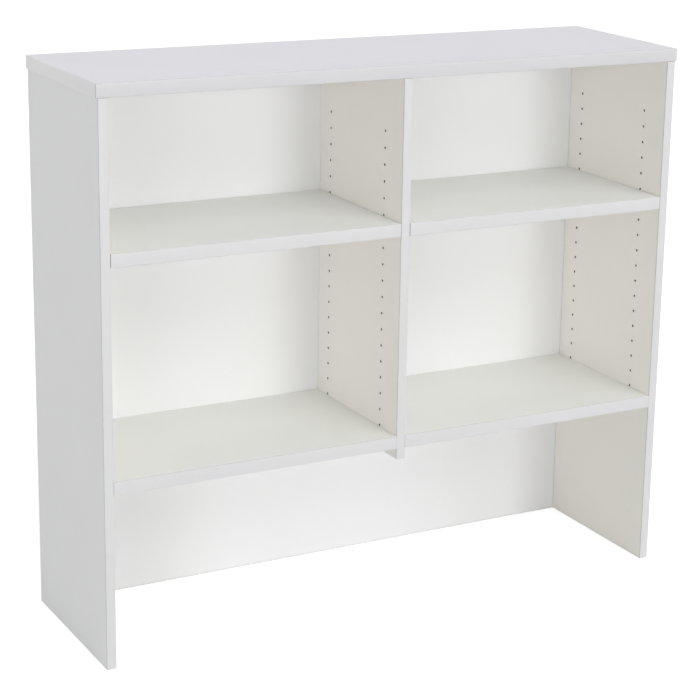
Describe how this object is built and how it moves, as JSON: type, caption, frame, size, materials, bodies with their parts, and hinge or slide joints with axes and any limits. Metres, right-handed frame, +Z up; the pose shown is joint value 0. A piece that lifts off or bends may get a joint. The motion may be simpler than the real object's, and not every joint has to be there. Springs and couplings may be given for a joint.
{
  "type": "desk hutch",
  "caption": "Open white board hutch for the back of a desk: fixed lower shelves and loose upper shelves on pins, on both sides of a hanging divider, over a clear space above the desk.",
  "frame": {"origin": "centre of the footprint, on the desk surface", "axes": "+X to the right seen from the front, +Y to the rear, +Z up; the open front faces -Y"},
  "size_m": [1.206, 0.35, 1.07],
  "materials": {
    "white_melamine": "white melamine-faced particle board, satin, lightly textured",
    "white_edge_band": "white 2 mm edge band, satin",
    "plated_steel": "zinc-plated steel",
    "cast_zinc": "die-cast zinc, as cast",
    "beech": "plain beech dowel"
  },
  "bodies": {
    "carcass": {"back_bolt_left_lower": "plated_steel", "back_bolt_left_upper": "plated_steel", "back_bolt_right_lower": "plated_steel", "back_bolt_right_upper": "plated_steel", "back_bolt_top_left": "plated_steel", "back_bolt_top_right": "plated_steel", "back_cam_left_lower": "cast_zinc", "back_cam_left_upper": "cast_zinc", "back_cam_right_lower": "cast_zinc", "back_cam_right_upper": "cast_zinc", "back_cam_top_left": "cast_zinc", "back_cam_top_right": "cast_zinc", "back_panel": "white_melamine", "back_screw_lower": "plated_steel", "back_screw_upper": "plated_steel", "centre_divider": "white_melamine", "centre_divider_edge_band": "white_edge_band", "divider_bolt_front": "plated_steel", "divider_bolt_rear": "plated_steel", "dowel_centre": "beech", "dowel_left": "beech", "dowel_right": "beech", "left_side_panel": "white_melamine", "left_side_panel_edge_band": "white_edge_band", "lower_left_shelf": "white_melamine", "lower_left_shelf_edge_band": "white_edge_band", "lower_right_shelf": "white_melamine", "lower_right_shelf_edge_band": "white_edge_band", "right_side_panel": "white_melamine", "right_side_panel_edge_band": "white_edge_band", "shelf_bolt_left_front": "plated_steel", "shelf_bolt_left_rear": "plated_steel", "shelf_bolt_right_front": "plated_steel", "shelf_bolt_right_rear": "plated_steel", "shelf_cam_left_inner_front": "cast_zinc", "shelf_cam_left_inner_rear": "cast_zinc", "shelf_cam_left_outer_front": "cast_zinc", "shelf_cam_left_outer_rear": "cast_zinc", "shelf_cam_right_inner_front": "cast_zinc", "shelf_cam_right_inner_rear": "cast_zinc", "shelf_cam_right_outer_front": "cast_zinc", "shelf_cam_right_outer_rear": "cast_zinc", "top_front_edge_band": "white_edge_band", "top_left_edge_band": "white_edge_band", "top_panel": "white_melamine", "top_right_edge_band": "white_edge_band"},
    "upper_left_shelf": {"upper_left_shelf": "white_melamine", "upper_left_shelf_edge_band": "white_edge_band"},
    "upper_right_shelf": {"upper_right_shelf": "white_melamine", "upper_right_shelf_edge_band": "white_edge_band"},
    "shelf_pin_left_inner_front": {"shelf_pin_left_inner_front": "plated_steel"},
    "shelf_pin_left_inner_rear": {"shelf_pin_left_inner_rear": "plated_steel"},
    "shelf_pin_left_outer_front": {"shelf_pin_left_outer_front": "plated_steel"},
    "shelf_pin_left_outer_rear": {"shelf_pin_left_outer_rear": "plated_steel"},
    "shelf_pin_right_inner_front": {"shelf_pin_right_inner_front": "plated_steel"},
    "shelf_pin_right_inner_rear": {"shelf_pin_right_inner_rear": "plated_steel"},
    "shelf_pin_right_outer_front": {"shelf_pin_right_outer_front": "plated_steel"},
    "shelf_pin_right_outer_rear": {"shelf_pin_right_outer_rear": "plated_steel"}
  },
  "joints": [
    {"name": "upper_left_shelf_slide", "type": "slide", "parent": "carcass", "child": "upper_left_shelf", "axis": [0, -1, 0], "range_m": [0, 0.36]},
    {"name": "upper_right_shelf_slide", "type": "slide", "parent": "carcass", "child": "upper_right_shelf", "axis": [0, -1, 0], "range_m": [0, 0.36]},
    {"name": "shelf_pin_left_inner_front_pull", "type": "slide", "parent": "carcass", "child": "shelf_pin_left_inner_front", "axis": [-1, 0, 0], "range_m": [0, 0.009]},
    {"name": "shelf_pin_left_inner_rear_pull", "type": "slide", "parent": "carcass", "child": "shelf_pin_left_inner_rear", "axis": [-1, 0, 0], "range_m": [0, 0.009]},
    {"name": "shelf_pin_left_outer_front_pull", "type": "slide", "parent": "carcass", "child": "shelf_pin_left_outer_front", "axis": [1, 0, 0], "range_m": [0, 0.009]},
    {"name": "shelf_pin_left_outer_rear_pull", "type": "slide", "parent": "carcass", "child": "shelf_pin_left_outer_rear", "axis": [1, 0, 0], "range_m": [0, 0.009]},
    {"name": "shelf_pin_right_inner_front_pull", "type": "slide", "parent": "carcass", "child": "shelf_pin_right_inner_front", "axis": [1, 0, 0], "range_m": [0, 0.009]},
    {"name": "shelf_pin_right_inner_rear_pull", "type": "slide", "parent": "carcass", "child": "shelf_pin_right_inner_rear", "axis": [1, 0, 0], "range_m": [0, 0.009]},
    {"name": "shelf_pin_right_outer_front_pull", "type": "slide", "parent": "carcass", "child": "shelf_pin_right_outer_front", "axis": [-1, 0, 0], "range_m": [0, 0.009]},
    {"name": "shelf_pin_right_outer_rear_pull", "type": "slide", "parent": "carcass", "child": "shelf_pin_right_outer_rear", "axis": [-1, 0, 0], "range_m": [0, 0.009]}
  ]
}
